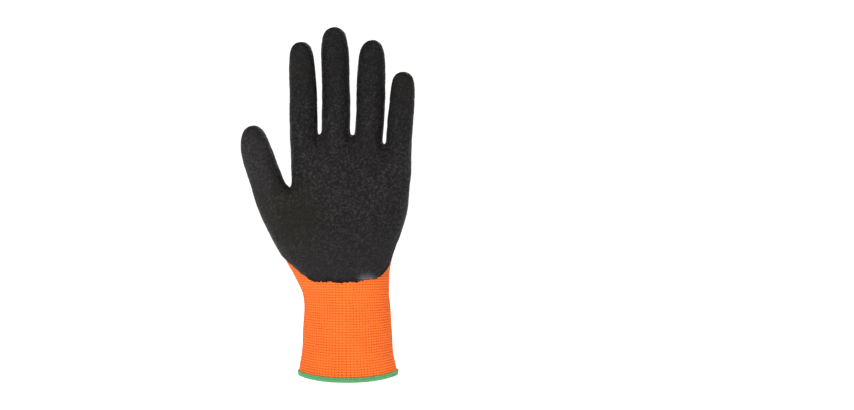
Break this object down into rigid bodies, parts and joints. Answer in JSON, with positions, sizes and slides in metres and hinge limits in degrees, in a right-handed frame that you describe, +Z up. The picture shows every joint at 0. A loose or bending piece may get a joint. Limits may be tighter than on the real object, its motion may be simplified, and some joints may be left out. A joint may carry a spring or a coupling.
{
  "type": "latex coated grip glove",
  "caption": "Knitted work glove for the left hand with a latex grip coating over palm and fingers, a rib knit cuff and an overlocked hem.",
  "frame": {"origin": "centre of the cuff's opening, level with the lowest point of the hem", "axes": "+Z up along the fingers, -Y out of the palm, -X towards the thumb"},
  "size_m": [0.1232, 0.0492, 0.2496],
  "materials": {
    "yarn": "fine knitted polyester yarn, bright orange",
    "rib_knit": "rib knit with elastic courses, bright orange",
    "hem_thread": "overlock thread, green",
    "latex": "crinkled dipped latex, charcoal"
  },
  "bodies": {
    "root": {"liner": "yarn", "index_stall": "yarn", "middle_stall": "yarn", "ring_stall": "yarn", "little_stall": "yarn", "thumb_stall": "yarn", "cuff": "rib_knit", "hem": "hem_thread", "coating": "latex"}
  },
  "joints": []
}
